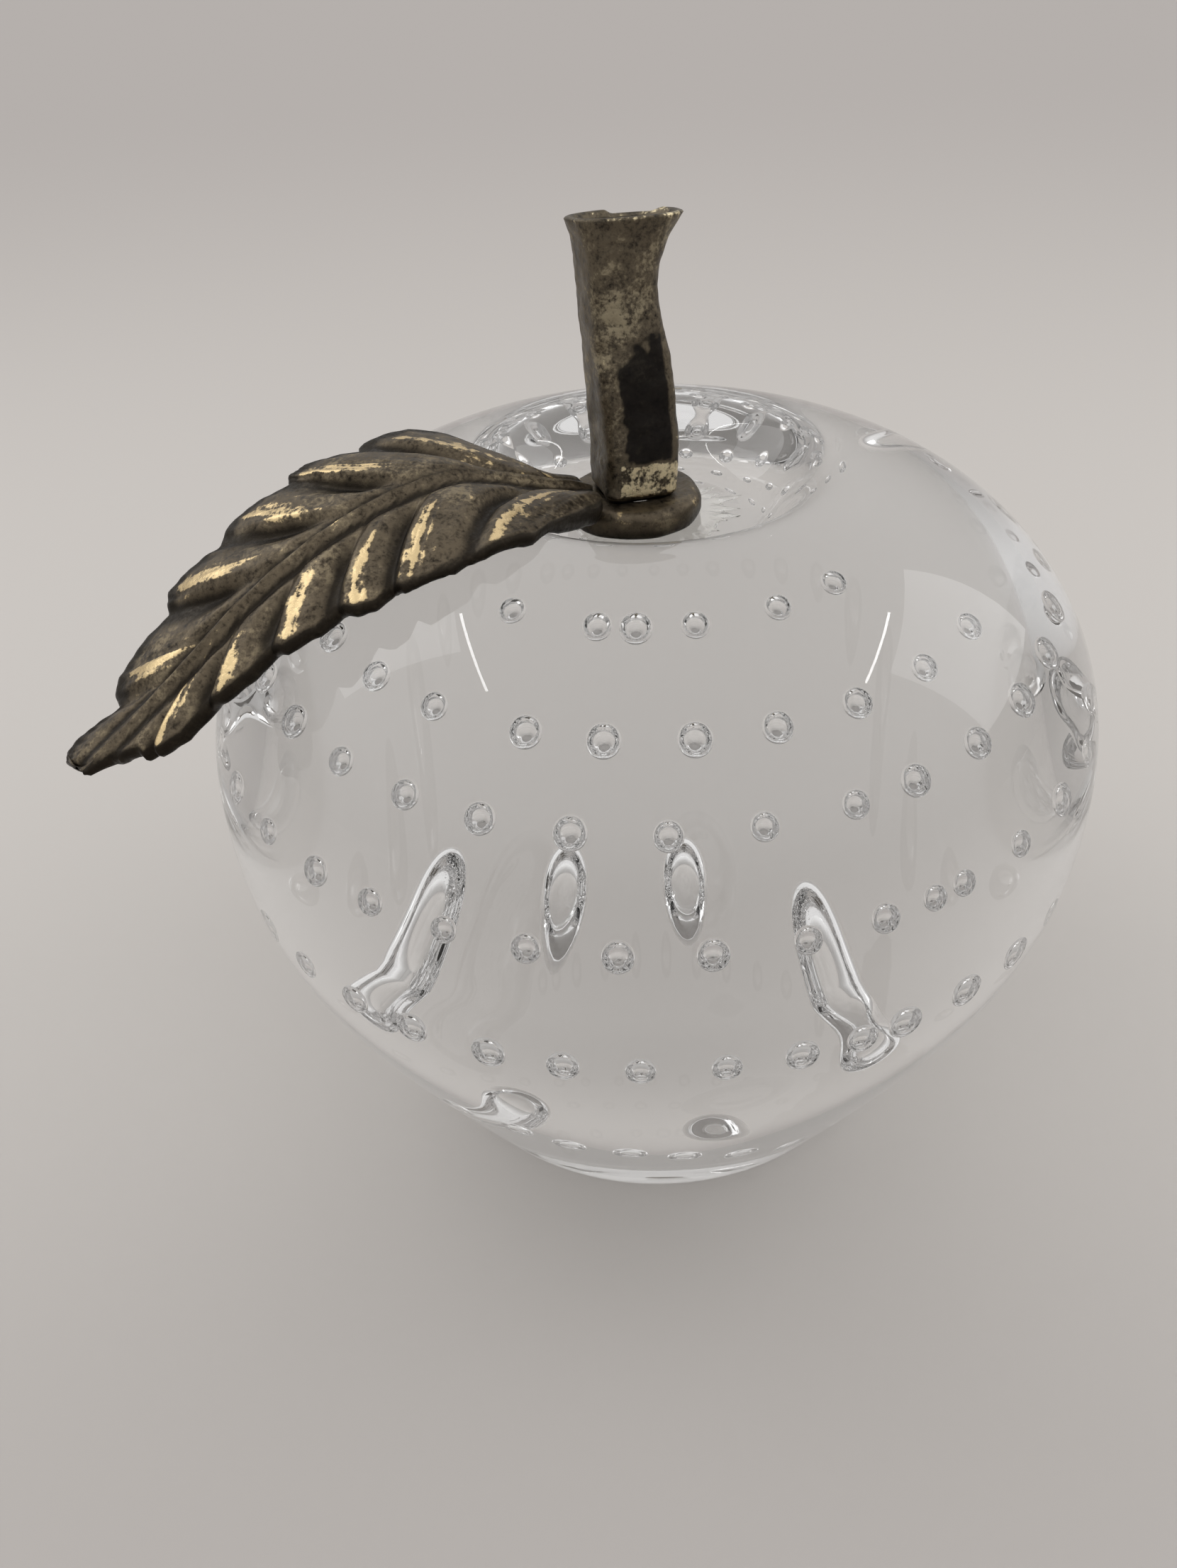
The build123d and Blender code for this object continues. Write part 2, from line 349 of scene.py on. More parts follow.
def build_glass(material):
    """One closed skin turned round the axis, with a closed inward skin for every bubble."""
    foot_flat = FOOT_RADIUS - FOOT_EDGE
    profile = [(0, 0), (foot_flat, 0)]
    for k in range(1, 6):
        a = radians(90 * k / 6)
        profile.append((foot_flat + FOOT_EDGE * sin(a), FOOT_EDGE * (1 - cos(a))))
    profile += [p for p in BELLY if p[1] > FOOT_EDGE * 1.2]
    profile += SHOULDER[1:] + DIMPLE[1:]
    profile += [(DIMPLE_FLOOR_RADIUS * (1 - k / 6), DIMPLE_FLOOR_HEIGHT) for k in range(1, 7)]
    verts, faces = turned(profile, GLASS_SIDES)
    turns = [pi * k / BUBBLE_ROWS for k in range(BUBBLE_ROWS + 1)]
    ball_verts, ball_faces = turned([(sin(turn), -cos(turn)) for turn in turns], BUBBLE_SIDES)
    for place, size in bubble_places():
        first = len(verts)
        verts += [tuple(place + size * Vector(point)) for point in ball_verts]
        faces += [tuple(first + k for k in reversed(face)) for face in ball_faces]
    return new_object("Glass_Body", mesh_of("Glass_Body", verts, faces), material)


glass = glass_material("Clear_Glass")
body = build_glass(glass)
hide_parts("glass_body")
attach(body, "root")
dress("glass_body", glass)


# Leaf. A place on the blade is given along it, across it towards the viewer and up, from the
# stem's foot. Its surface is a grid of lines that sweep from the midrib to the edge as the veins
# do: at a distance w across, a line that leaves the midrib at e is at e + k * w ** BEND. The first
# leaves it at ROOT.
RUN = Vector((-cos(LEAF_TURN), -sin(LEAF_TURN), 0))
SIDE = Vector((sin(LEAF_TURN), -cos(LEAF_TURN), 0))
BEND = 0.578
ROOT = 4.2
LAST_LINE = 52.2

# Where a line leaves the midrib, how strongly it sweeps (k), and how wide the blade is along it
FRONT_EDGE = (
    (-12.0, 4.2, 11.0), (0.0, 4.2, 11.2), (3.0, 4.2, 11.4), (5.0, 4.2, 10.6), (7.0, 4.0, 11.2),
    (11.0, 3.5, 10.9), (15.0, 3.2, 10.4), (17.0, 3.02, 9.4), (18.6, 3.02, 10.0), (20.4, 3.02, 9.5),
    (22.5, 3.02, 8.0), (23.9, 3.14, 8.3), (26.3, 3.35, 7.7), (28.0, 3.5, 6.3), (29.4, 3.63, 6.7),
    (31.6, 3.82, 6.3), (33.5, 4.0, 5.2), (35.0, 4.15, 5.8), (37.0, 4.35, 5.3), (38.5, 4.5, 4.1),
    (40.0, 4.12, 4.2), (42.0, 3.6, 3.5), (46.0, 2.9, 2.4), (48.0, 2.5, 1.7), (49.5, 2.2, 1.2),
    (51.5, 1.0, 0.7), (52.3, 0.2, 0.2),
)
BACK_EDGE = (
    (-12.0, 4.5, 10.7), (-3.6, 4.5, 10.9), (-1.3, 4.5, 11.0), (1.5, 4.5, 10.9), (3.8, 4.5, 10.6),
    (5.1, 4.48, 9.6), (6.6, 4.25, 10.7), (11.8, 3.57, 11.3), (15.5, 3.06, 11.2),
    (17.8, 2.75, 10.2), (19.2, 2.87, 10.9), (21.7, 3.09, 10.8), (23.5, 3.25, 9.5),
    (25.0, 3.2, 10.2), (28.6, 3.09, 10.1), (31.2, 3.0, 8.1), (33.0, 3.1, 8.1),
    (35.0, 3.2, 7.3), (36.8, 3.3, 6.6),
    (38.7, 3.4, 5.3), (39.7, 3.45, 4.3), (40.5, 3.5, 3.5), (42.0, 3.29, 4.2), (44.0, 3.0, 4.6),
    (46.7, 2.55, 4.4), (49.2, 1.9, 3.5), (51.0, 1.2, 2.3), (52.3, 0.2, 0.5),
)
FRONT_VEINS = (-9.0, 5.0, 17.0, 22.5, 28.0, 33.5, 38.5, 60.0)
BACK_VEINS = (-9.0, 5.0, 17.8, 23.5, 31.3, 40.5, 60.0)

# The neck between the eye and the blade: the place along it and the greatest width there
FRONT_NECK = (
    (4.2, 4.2), (7.0, 6.0), (9.0, 7.2), (11.0, 8.5), (12.9, 9.6), (15.0, 11.2), (20.0, 20.0),
)
BACK_NECK = (
    (3.9, 2.6), (7.0, 2.8), (8.9, 4.2), (10.9, 8.2), (12.5, 10.0), (14.5, 11.4), (20.0, 20.0),
)

# The crest of the blade, as the place along it and the height above the foot
CREST = (
    (3.4, 0.7), (5.1, 1.5), (8.9, 2.7), (13.1, 4.2), (17.8, 5.36), (23.6, 4.7), (29.9, 2.6),
    (36.7, -1.15), (43.0, -5.8), (48.2, -9.4), (51.1, -11.4), (52.4, -12.3), (54.0, -13.4),
)

# By the place where a line leaves the midrib, how thick the blade is at the midrib, and half its
# thickness at the edge
THICKNESS = (
    (3.9, 3.4), (6.0, 3.0), (9.0, 1.9), (14.0, 1.5), (49.0, 1.6), (51.0, 1.2), (52.4, 0.5),
)
RIM = (
    (3.9, 1.3), (8.0, 0.7), (11.0, 0.5), (15.0, 0.55), (20.0, 0.75), (50.5, 0.75), (52.4, 0.3),
)

# Heights and depths of the carving
LOBE_RISE = 0.55
GROOVE_DEPTH = 0.75
WIDEST_LOBE = 8.0
MIDRIB_RISE = 0.42
STRAND_RISE = 0.09
LUMP = 0.10
GLASS_CLEARANCE = 0.15

# How finely the blade is cut: lines along it, points across each half, and turns of the eye
LEAF_LOOPS = 196
ACROSS = 30
EYE_TURNS = 160


def vein_of(edge, s, w):
    """Return where the line through a place of the blade leaves the midrib."""
    reach = w ** BEND
    low, high = -6.0, LEAF_LENGTH
    for _ in range(18):
        middle = (low + high) / 2
        if middle + table(edge, middle)[0] * reach < s:
            low = middle
        else:
            high = middle
    return (low + high) / 2


def crest_at(s):
    """Return the crest's place and its upward direction."""
    height, ahead = smooth(CREST, s)[0], smooth(CREST, s + 0.1)[0]
    slope = (ahead - height) / 0.1
    way = (RUN + Vector((0, 0, slope))).normalized()
    return RUN * s + Vector((STEM_X, 0, EYE_TOP + height)), way.cross(SIDE).normalized()


def blade(s, w, front):
    """Return a place on the plain arched blade, without its lobes."""
    place, upward = crest_at(s)
    full = 0.2 + 0.8 * min(1, max(0, s - BLADE_START) / ROLL_GROWTH)
    across = w if front else -w
    camber = FRONT_CAMBER if front else BACK_CAMBER
    drop = full * (LEAF_ROLL * across + camber * w * w / HALF_WIDTH)
    return place + SIDE * across - upward * drop


def relief(veins, e, s, w, width, front):
    """Return how far the blade swells or sinks at a place, how rubbed it is and how dark."""
    n = max(k for k, start in enumerate(veins) if start <= e)
    low, high = veins[n], veins[n + 1]
    gap = min(high - low, WIDEST_LOBE)
    from_low, to_high = (e - low) / gap, (high - e) / gap
    out = ease(w, 0.6, 4.0)
    groove = 1 - ease(from_low, 0, 0.42) * ease(to_high, 0, 0.24)
    swell = min(1, from_low * 1.1) ** 0.7 * (1 - (1 - min(1, to_high * 3)) ** 2)
    by_edge = (0.5 if front else 0.8) * ease(w, 0.45 * width, width)
    fade = (1 - 0.45 * ease(s, 42, 52)) * (1 - by_edge)
    rise = out * fade * (LOBE_RISE * swell - GROOVE_DEPTH * groove) - 0.25 * out
    rib = bell(w, 0, 0.42) * MIDRIB_RISE - MIDRIB_RISE * bell(w, 1.15, 0.5)
    rise += rib * ease(s, 3, 8) * (1 - 0.6 * ease(s, 40, 51))
    rise -= ease(w, width - 2.6, width) * (0.15 if front else 0.3) * ease(s, 14, 22)
    strand = noise.noise(Vector((e * 1.5, w * 0.16, 0)))
    rise += STRAND_RISE * strand * out
    rubbed_and_highlight = bell(to_high, 0.38, 0.18) * ease(w, 0.12 * width, 0.5 * width) + 0.9 * strand
    rubbed_and_highlight *= 1 - ease(w, width - 1.3, width - 0.3)
    dark = max(groove * out, bell(w, 1.1, 0.5), ease(w, width - 1.6, width - 0.3))
    return rise, rubbed_and_highlight, dark - 0.3 * strand


def half_line(edge, neck, veins, c, front):
    """Return the places and looks of one line from the midrib to the edge and back under."""
    lean = 0.1 + 0.9 * ease(c, ROOT, 13)
    k = table(edge, c)[0] * lean
    width = 9.0
    for _ in range(14):
        s = c + k * width ** BEND
        limit = min(table(edge, vein_of(edge, s, width))[1], table(neck, s)[0])
        width += 0.5 * (limit - width)
    thick = table(THICKNESS, c)[0]
    rim = min(table(RIM, c)[0], width * 0.45)
    inner = max(width - rim * (1.5 if front else 0.2), 0.02)
    top, low = [], []
    for n in range(ACROSS):
        share = n / (ACROSS - 1)
        w = inner * (1 - (1 - share) ** 1.25)
        s = c + k * w ** BEND
        e = vein_of(edge, s, w)
        base = blade(s, w, front)
        over = blade(s + 0.2, w, front) - base
        aside = blade(s, w + 0.2, front) - base
        normal = over.cross(aside if front else -aside).normalized()
        rise, rubbed_and_highlight, dark = relief(veins, e, s, w, width, front)
        lump = noise.noise(Vector((s * 0.55, w * 0.7, 3 if front else 8))) * LUMP
        top.append((base + normal * (rise + lump), rubbed_and_highlight, dark))
        if n % 2 == 1 or n == 0:
            near = share ** 2
            under = near * (rise - 2 * rim) - (1 - near) * thick
            low.append((base + normal * under, 0, 0.8))
    crown = top[-1][0]
    outward = (crown - top[-3][0]).normalized()
    bottom = low[-1][0]
    middle = (crown + bottom) / 2
    half = (crown - bottom) / 2
    turns = [(middle + half * cos(a) + outward * rim * sin(a), 0.0, 0.9) for a in
             (radians(30), radians(60), radians(90), radians(120), radians(150))]
    return top, turns, low[::-1]


def clear_of_glass(place):
    """Return a place of the leaf, lifted where it would touch the top of the glass."""
    r = hypot(place.x, place.y)
    if DIMPLE_FLOOR_RADIUS < r < 0.95 * BODY_RADIUS:
        place.z = max(place.z, table(GLASS_TOP, r)[0] + GLASS_CLEARANCE)
    return place


def build_leaf(material):
    """The blade as closed loops round it, one behind the other, and the eye as a turned ring."""
    verts, looks = [], []
    count = 0
    for n in range(LEAF_LOOPS):
        c = ROOT + (LAST_LINE - ROOT) * n / (LEAF_LOOPS - 1)
        top, rim, low = half_line(FRONT_EDGE, FRONT_NECK, FRONT_VEINS, c, True)
        far_top, far_rim, far_low = half_line(BACK_EDGE, BACK_NECK, BACK_VEINS, c, False)
        loop = top + rim + low[:-1] + far_low[::-1] + far_rim[::-1] + far_top[:0:-1]
        count = len(loop)
        verts += [tuple(clear_of_glass(place)) for place, _, _ in loop]
        looks += [(rubbed_and_highlight, dark) for _, rubbed_and_highlight, dark in loop]
    faces = [(a, d, c, b) for a, b, c, d in band_faces(LEAF_LOOPS, count)]
    faces.append(tuple(range(count)))
    faces.append(tuple((LEAF_LOOPS - 1) * count + k for k in range(count))[::-1])

    # The eye, with its upper edge rounder than its lower, and a little rubbed
    hole, wide = EYE_HOLE_RADIUS, EYE_RADIUS
    low_edge, high_edge = 0.6, 1.0
    section = [(hole, EYE_BOTTOM + 0.1), (hole + 0.2, EYE_BOTTOM), (wide - low_edge, EYE_BOTTOM)]
    for a in (radians(30), radians(60), radians(90)):
        section.append((wide - low_edge * (1 - sin(a)), EYE_BOTTOM + low_edge * (1 - cos(a))))
    for a in (radians(k) for k in (0, 15, 30, 45, 60, 75, 90)):
        section.append((wide - high_edge * (1 - cos(a)), EYE_TOP - high_edge * (1 - sin(a))))
    section += [(wide - 1.9, EYE_TOP - 0.05), (wide - 2.6, EYE_TOP), (hole + 0.3, EYE_TOP)]
    first, rows = len(verts), len(section)
    for k in range(EYE_TURNS):
        a = 2 * pi * k / EYE_TURNS
        for n, (r, z) in enumerate(section):
            lump = noise.noise(Vector((2.2 * cos(a), 2.2 * sin(a), z * 0.5))) if r > 4 else 0
            out = 1 + 0.035 * lump
            verts.append((STEM_X + r * out * cos(a), r * out * sin(a), z))
            looks.append((0.4 if 7 <= n <= 11 else 0.0, 0.8 if z < EYE_TOP - high_edge else 0.5))
    for k in range(EYE_TURNS):
        here, ahead = first + k * rows, first + (k + 1) % EYE_TURNS * rows
        for n in range(rows):
            p = (n + 1) % rows
            faces.append((here + n, ahead + n, ahead + p, here + p))
    leaf = new_object("Leaf", mesh_of("Leaf", verts, faces), material)
    paint(leaf.data, looks)
    return leaf


# Stem: rounded squares up a leaning path. The rows hold the share of the way up, the shift to the
# right and away, the two sides and the corner.
STEM_ROWS = (
    (0.0, 0.0, 0.0, 6.8, 6.8, 1.4), (0.10, 0.06, 0.05, 6.8, 6.8, 1.3),
    (0.20, 0.14, 0.14, 6.8, 6.8, 1.3), (0.44, -0.27, 0.61, 6.8, 6.75, 1.4),
    (0.69, -1.02, 1.5, 6.15, 6.55, 1.5), (0.80, -1.08, 1.86, 6.3, 6.6, 1.7),
    (0.88, -0.95, 2.24, 7.1, 6.9, 2.1), (0.95, -0.6, 2.55, 8.5, 7.5, 2.8),
    (1.0, -0.34, 2.72, 9.8, 8.0, 3.4),
)

# The mouth, inwards from the column's end: the share of the width left, and the height above it
MOUTH_ROWS = (
    (0.975, 0.12), (0.94, 0.18), (0.90, 0.15), (0.86, 0.0), (0.80, -0.45),
    (0.70, -1.05), (0.55, -1.7), (0.38, -2.2), (0.2, -2.5), (0.06, -2.6),
)
STEM_LOOPS = 130
STEM_SIDES = 128


def rounded_square(wide, deep, corner, share):
    """Return a point of a rounded rectangle at a share of a turn, and how near a corner it is."""
    angle = 2 * pi * share
    x, y = cos(angle), sin(angle)
    power = 2 + 7 * (1 - 2 * corner / min(wide, deep)) ** 1.6
    scale = (abs(x) ** power + abs(y) ** power) ** (-1 / power)
    in_corner = ease(min(abs(x), abs(y)) * scale, 0.72, 0.95)
    return x * scale * wide / 2, y * scale * deep / 2, in_corner


def build_stem(material):
    """Closed loops up the column, over its thin rim and down into the dish of its mouth."""
    loops = [(n / (STEM_LOOPS - 1), 1.0, 0.0) for n in range(STEM_LOOPS)]
    loops += [(1.0, shrink, lift) for shrink, lift in MOUTH_ROWS]
    verts, looks = [], []
    for share, shrink, lift in loops:
        right, away, wide, deep, corner = smooth(STEM_ROWS, share)
        ahead = smooth(STEM_ROWS, min(1, share + 0.02))
        behind = smooth(STEM_ROWS, min(1, share + 0.02) - 0.04)

        # The loops stand square to the column, and turn level towards the mouth
        level = 1 - 1.1 * ease(share, 0.72, 0.96)
        upward = Vector((
            (ahead[0] - behind[0]) * level, ahead[1] - behind[1], 0.04 * STEM_LENGTH)).normalized()
        x_way = Vector((cos(STEM_TURN), sin(STEM_TURN), 0))
        x_way = (x_way - upward * x_way.dot(upward)).normalized()
        y_way = upward.cross(x_way)
        middle = Vector((STEM_X + right, away, EYE_TOP + share * STEM_LENGTH))
        foot = 1 - 0.09 * (1 - ease(share * STEM_LENGTH, 0.1, 0.55))
        for k in range(STEM_SIDES):
            x, y, corner_share = rounded_square(wide, deep, corner, k / STEM_SIDES)
            place = middle + (x_way * x + y_way * y) * shrink * foot + upward * lift
            lump = noise.noise(place * 0.45) * 0.16 + noise.noise(place * 1.3) * 0.05
            out = (x_way * x + y_way * y).normalized()
            chip = -0.35 * ease(y, 2.0, 3.2) * ease(x, -0.6, 0.2) * ease(share, 0.97, 1.0)
            place += out * lump * (1 if shrink > 0.9 else 0.4)
            place += upward * chip * (1 if shrink > 0.8 else 0)
            verts.append(tuple(place))
            looks.append(stem_look(x, y, share, shrink, corner_share, place))
    faces = band_faces(len(loops), STEM_SIDES)
    faces.append(tuple(range(STEM_SIDES))[::-1])
    faces.append(tuple((len(loops) - 1) * STEM_SIDES + k for k in range(STEM_SIDES)))
    stem = new_object("Stem", mesh_of("Stem", verts, faces), material)
    paint(stem.data, looks)
    return stem


def stem_look(x, y, share, shrink, corner_share, place):
    """Return how rubbed and how dark a place of the stem is, with a painted highlight, a painted
    dark reflection and painted shade among them.
    """
    height = share * STEM_LENGTH
    ragged = noise.noise(place * 0.8) * 0.9 + noise.noise(place * 2.3) * 0.5
    front = ease(-y, 2.2, 3.0)
    if shrink < 0.85:
        return 0.1, 0.75
    rim = ease(share, 0.975, 1.0)

    # The black patch on the front is a painted dark reflection, and the bright block between it
    # and the foot is a painted highlight
    painted_dark_reflection = front * ease(x + 0.5 * ragged, -2.3, -1.5) * (1 - ease(x + 0.12 * ragged, 2.2, 2.7))
    painted_dark_reflection *= ease(height + 0.35 * ragged, 3.2, 3.9)
    painted_dark_reflection *= 1 - ease(height + 1.1 * ragged - 0.35 * x, 11.8, 13.4)
    painted_highlight = front * ease(x, -2.6, -2.2) * ease(height, 0.35, 0.6)
    painted_highlight *= 1 - ease(height + 0.3 * ragged, 3.2, 3.7)
    edge = corner_share * ease(height, 2, 5) * (1 - painted_dark_reflection)
    rubbed_and_highlight = max(0.5 * edge, 0.85 * painted_highlight, 0.55 * rim)
    # Painted shade: the lowest part of the stem darkened, in the crevice where it stands on the
    # eye
    foot = 1 - ease(height, 0.1, 0.4)
    # Painted shade on the stem's left side low down, beside the leaf's neck
    painted_side_shade = 0.35 * ease(-x, 2.4, 3.2) * (1 - ease(height, 4, 7))
    return rubbed_and_highlight, max(painted_dark_reflection, foot, painted_side_shade)


def brass_material(name, dark, middle, pale, gold):
    """Cast brass: black in the hollows and where shade and a dark reflection are painted, speckled
    brown between, rubbed gold where it is proud and on a painted highlight.
    """
    material, tree, out, where = new_material(name)
    # The rubbed gold with a painted highlight, and the patina with painted shade and a painted
    # dark reflection, from the mesh
    rubbed_and_highlight = node(tree, "ShaderNodeAttribute", attribute_name="rubbed_and_highlight").outputs["Fac"]
    patina_shade_and_reflection = node(tree, "ShaderNodeAttribute", attribute_name="dark").outputs["Fac"]
    speckle = clouds(tree, where, 2600, 4, 0.65)
    blotch = clouds(tree, where, 620, 5)
    broad = clouds(tree, where, 190, 3)

    def uneven(value, cloud, strength):
        """Return a value with a noise added, about its middle."""
        centred = maths(tree, "SUBTRACT", cloud, 0.5)
        return maths(tree, "ADD", value, maths(tree, "MULTIPLY", centred, strength))

    fine = maths(tree, "ADD", speckle, maths(tree, "MULTIPLY", blotch, 0.7))
    base = mix(tree, dark, middle, span(tree, fine, 0.5, 0.98))
    coarse = maths(tree, "ADD", maths(tree, "ADD", blotch, broad), speckle)
    base = mix(tree, base, pale, span(tree, coarse, 1.56, 1.84, 0, 0.75))
    gold_rubbed_and_highlight = span(tree, uneven(uneven(rubbed_and_highlight, blotch, 2.2), speckle, 1.3), 0.62, 0.95)
    base = mix(tree, base, gold, gold_rubbed_and_highlight)
    base = mix(tree, base, dark, span(tree, uneven(patina_shade_and_reflection, speckle, 0.8), 0.35, 0.95, 0, 0.93))
    shader = node(tree, "ShaderNodeBsdfPrincipled")
    shader.inputs["Metallic"].default_value = 0.9
    tree.links.new(base, shader.inputs["Base Color"])
    dull = span(tree, speckle, 0.3, 0.7, 0.34, 0.56)
    rough = maths(tree, "SUBTRACT", dull, maths(tree, "MULTIPLY", gold_rubbed_and_highlight, 0.14))
    tree.links.new(rough, shader.inputs["Roughness"])
    bump = node(tree, "ShaderNodeBump", Strength=0.55, Distance=0.00012)
    grain = maths(tree, "ADD", maths(tree, "MULTIPLY", speckle, 0.6), blotch)
    tree.links.new(grain, bump.inputs["Height"])
    tree.links.new(bump.outputs[0], shader.inputs["Normal"])
    tree.links.new(shader.outputs["BSDF"], out.inputs["Surface"])
    return material


leaf_brass = brass_material(
    "Rubbed_Brass",
    dark=(0.014, 0.011, 0.008), middle=(0.135, 0.108, 0.074),
    pale=(0.28, 0.23, 0.15), gold=(0.70, 0.54, 0.30),
)
stem_brass = brass_material(
    "Dark_Brass",
    dark=(0.010, 0.009, 0.009), middle=(0.14, 0.115, 0.08),
    pale=(0.36, 0.31, 0.21), gold=(0.70, 0.60, 0.39),
)
for make, name, slot, material in (
    (build_leaf, "leaf", "rubbed_brass", leaf_brass),
    (build_stem, "stem", "dark_brass", stem_brass),
):
    piece = make(material)
    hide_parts(name)
    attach(piece, "root")
    dress(name, material)


# Glue: an uneven smear on the floor of the dimple, with strands drawn out up its wall
GLUE_LIFT = 0.04
GLUE_THICKNESS = 0.34
GLUE_ROWS = 22
GLUE_SIDES = 180


def build_glue(material):
    """A thin closed skin that follows the dimple, a hair above it, and stays under the eye."""
    verts = []
    wall = sorted(DIMPLE)
    lowest = DIMPLE_FLOOR_HEIGHT + GLUE_LIFT
    under = [(n, 0) for n in range(1, GLUE_ROWS + 1)]
    rows = under + [(n, 1) for n in range(GLUE_ROWS - 1, 0, -1)]
    for n, upper in rows:
        share = n / GLUE_ROWS
        for k in range(GLUE_SIDES):
            a = 2 * pi * k / GLUE_SIDES
            rough = noise.noise(Vector((1.6 * cos(a), 1.6 * sin(a), 2.0)))
            strand = max(0, noise.noise(Vector((9 * cos(a), 9 * sin(a), 5.0))))
            reach = 7.0 + 0.7 * rough + (5.0 * strand if cos(a) > 0.2 else 1.5 * strand)
            r = reach * n / GLUE_ROWS
            base = lowest
            if r > DIMPLE_FLOOR_RADIUS:
                base = table(wall, r)[0] + 0.05
            high = GLUE_THICKNESS * (1 - ease(share, 0.8, 1.0))
            high += 0.22 * max(0, rough) * ease(r, 6.6, 7.2) * (1 - share)
            verts.append((r * cos(a), r * sin(a), base + high * upper))
    verts += [(0, 0, lowest), (0, 0, lowest + GLUE_THICKNESS)]
    faces = closed_faces(len(rows), GLUE_SIDES)
    return new_object("Glue_Bead", mesh_of("Glue_Bead", verts, faces), material)


set_glue, tree, out, where = new_material("Set_Clear_Glue")
shader = node(tree, "ShaderNodeBsdfPrincipled")
shader.inputs["Base Color"].default_value = (0.97, 0.97, 0.95, 1)
shader.inputs["Roughness"].default_value = 0.04
shader.inputs["IOR"].default_value = 1.12
shader.inputs["Transmission Weight"].default_value = 1
shader.inputs["Coat Weight"].default_value = 1
shader.inputs["Coat Roughness"].default_value = 0.05
bump = node(tree, "ShaderNodeBump", Strength=0.5, Distance=0.0003)
tree.links.new(clouds(tree, where, 420, 1), bump.inputs["Height"])
tree.links.new(bump.outputs[0], shader.inputs["Normal"])
tree.links.new(bump.outputs[0], shader.inputs["Coat Normal"])
tree.links.new(shader.outputs["BSDF"], out.inputs["Surface"])
glue = build_glue(set_glue)
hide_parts("glue_bead")
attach(glue, "root")
dress("glue_bead", set_glue)


# Floor: pale paper, its colour painted lighter under the apple than near the viewer and far away,
# a painted pool of light
FLOOR_RADIUS = 4000
FLOOR_SIDES = 96
FLOOR_GAP = 0.1
paper, tree, out, where = new_material("Paper")
shader = node(tree, "ShaderNodeBsdfPrincipled")
shader.inputs["Roughness"].default_value = 0.75
shader.inputs["Specular IOR Level"].default_value = 0.2
parts = node(tree, "ShaderNodeSeparateXYZ")
tree.links.new(where, parts.inputs[0])
# The painted pool of light: the colour lighter in a band across the apple, darker nearer the
# viewer and far beyond
near = span(tree, parts.outputs["Y"], -0.12, 0.02)
far = span(tree, parts.outputs["Y"], 0.05, 0.6)
shade = mix(tree, (0.462, 0.434, 0.418), (0.578, 0.552, 0.527), near)
shade = mix(tree, shade, (0.503, 0.473, 0.456), far)
tree.links.new(shade, shader.inputs["Base Color"])
tree.links.new(shader.outputs["BSDF"], out.inputs["Surface"])
circle = [2 * pi * k / FLOOR_SIDES for k in range(FLOOR_SIDES)]
rim = [(FLOOR_RADIUS * cos(turn), FLOOR_RADIUS * sin(turn), 0) for turn in circle]
floor = new_object("Floor", mesh_of("Floor", rim, [tuple(range(FLOOR_SIDES))]), paper)
floor.location.z = -FLOOR_GAP * MM

# Light: a pale room, brighter overhead, with two faint wide panels and a thin strip by each
world = bpy.data.worlds.new("World")
bpy.context.scene.world = world
world.use_nodes = True
tree = world.node_tree
room = tree.nodes["Background"]
parts = node(tree, "ShaderNodeSeparateXYZ")
tree.links.new(node(tree, "ShaderNodeTexCoord").outputs["Generated"], parts.inputs[0])
height = span(tree, parts.outputs["Z"], 0.0, 0.62)
tree.links.new(mix(tree, (0.40, 0.385, 0.37), (0.95, 0.94, 0.93), height), room.inputs[0])
room.inputs[1].default_value = 1.0


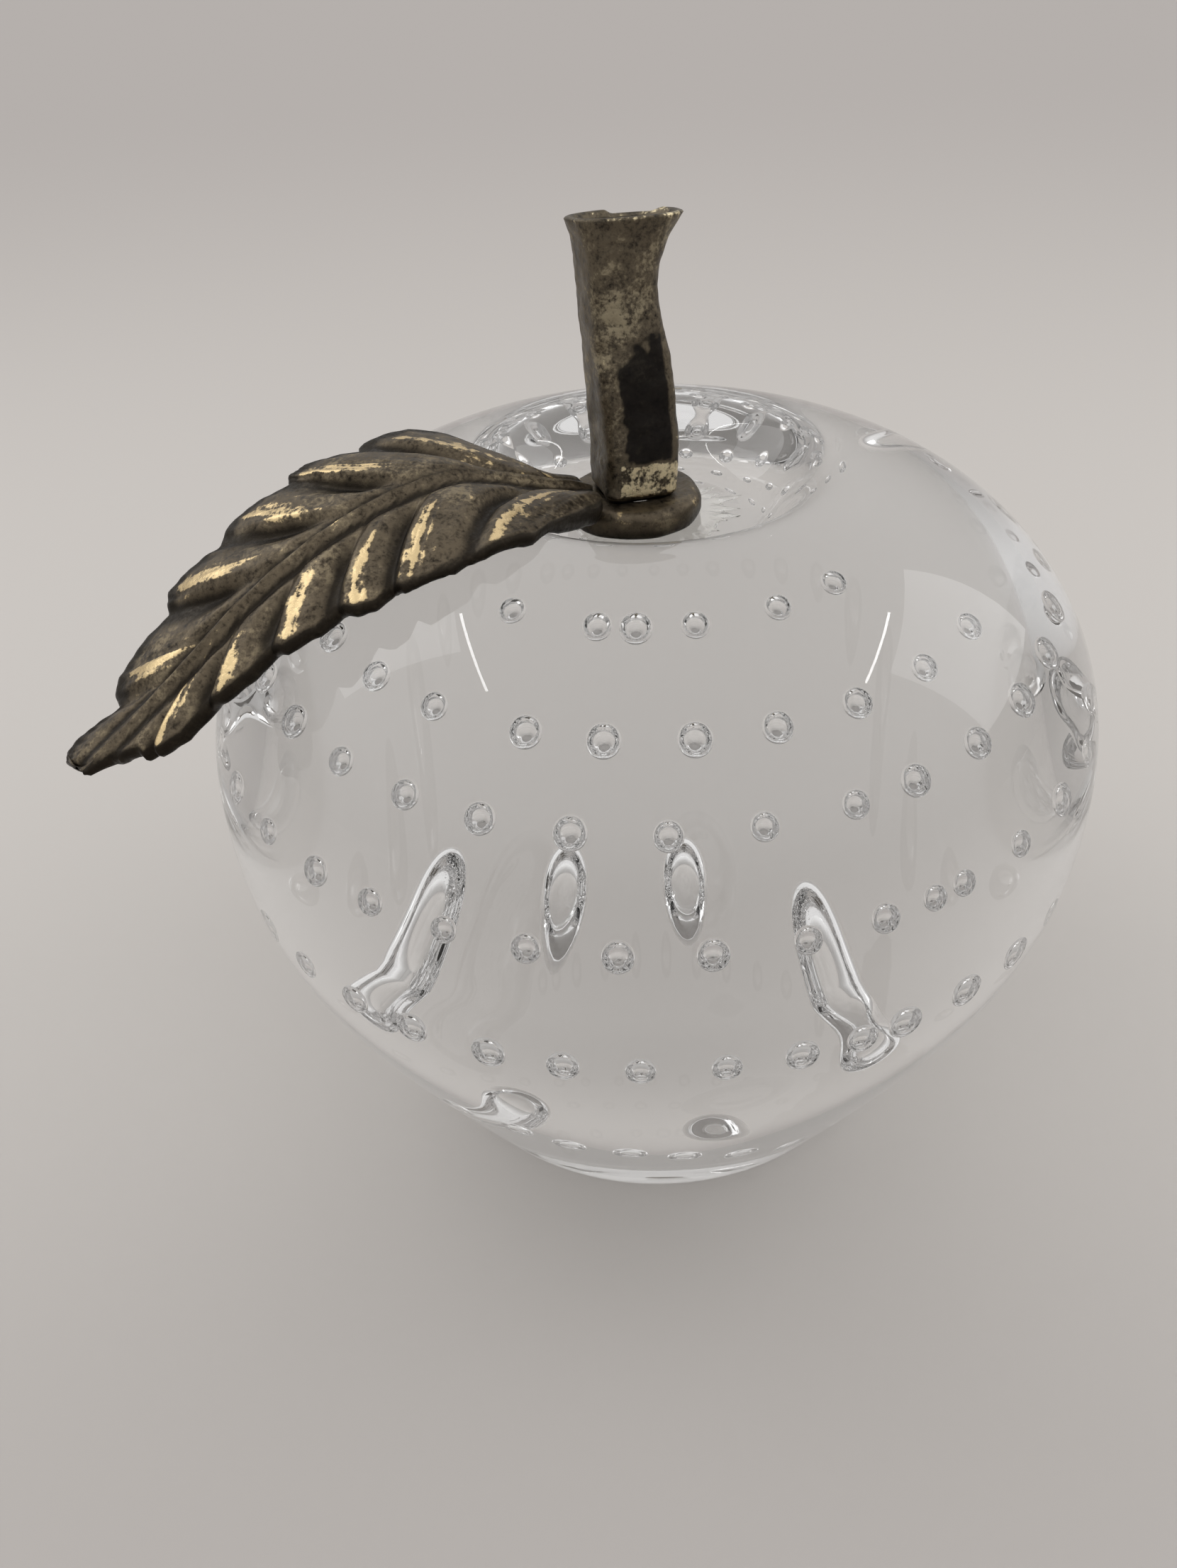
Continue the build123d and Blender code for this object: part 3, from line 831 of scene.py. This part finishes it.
def area(name, place, aim, width, height, watts):
    """Add a soft rectangular lamp, its height along Y. Places and sizes are in millimetres."""
    lamp = bpy.data.lights.new(name, "AREA")
    lamp.shape = "RECTANGLE"
    lamp.size = width * MM
    lamp.size_y = height * MM
    lamp.energy = watts
    thing = bpy.data.objects.new(name, lamp)
    bpy.context.scene.collection.objects.link(thing)
    thing.location = Vector(place) * MM
    back = (Vector(place) - Vector(aim)).normalized()
    long_way = (Vector((0, 1, 0)) - back * back.y).normalized()
    thing.rotation_euler = Matrix((long_way.cross(back), long_way, back)).transposed().to_euler()


GLASS_MIDDLE = (0, 0, 40)
area("Panel_Left", (-250, 110, 270), GLASS_MIDDLE, 190, 190, 0.13)
area("Panel_Right", (290, 80, 210), GLASS_MIDDLE, 190, 190, 0.13)
area("Strip_Left", (-164, 8, 314), GLASS_MIDDLE, 3, 138, 0.013)
area("Strip_Right", (209, 19, 283), GLASS_MIDDLE, 3, 118, 0.013)

# Camera: the photograph's viewing angle. Its frame is 1660 by 2212 pixels, and the focal length
# and the object's distance from the middle of the frame are in those pixels.
PICTURE_HEIGHT = 2212
FOCAL = 2000
OFF_MIDDLE = (89.24, 22.5)
TILT = radians(36)
ROLL = -0.016
DISTANCE = 148.37
AIM_HEIGHT = 31.875
forward = Vector((0, cos(TILT), -sin(TILT)))
across = Vector((1, 0, 0))
upward = across.cross(forward)
yaw, pitch = atan(OFF_MIDDLE[0] / FOCAL), atan(OFF_MIDDLE[1] / FOCAL)
look = forward * cos(yaw) - across * sin(yaw)
right = across * cos(yaw) + forward * sin(yaw)
look, up = look * cos(pitch) + upward * sin(pitch), upward * cos(pitch) - look * sin(pitch)
right, up = right * cos(ROLL) + up * sin(ROLL), up * cos(ROLL) - right * sin(ROLL)
lens = bpy.data.cameras.new("Camera")
camera = bpy.data.objects.new("Camera", lens)
bpy.context.scene.collection.objects.link(camera)
pose = Matrix((right, up, -look)).transposed().to_4x4()
pose.translation = (Vector((0, 0, AIM_HEIGHT)) - forward * DISTANCE) * MM
camera.matrix_world = pose
lens.sensor_fit = "VERTICAL"
lens.sensor_height = 36
lens.lens = FOCAL / PICTURE_HEIGHT * lens.sensor_height
lens.clip_start = 0.01
bpy.context.scene.camera = camera

scene = bpy.context.scene
scene.view_settings.view_transform = "Standard"
scene.cycles.use_denoising = True
scene.cycles.max_bounces = 16
scene.cycles.transmission_bounces = 16
scene.cycles.glossy_bounces = 12
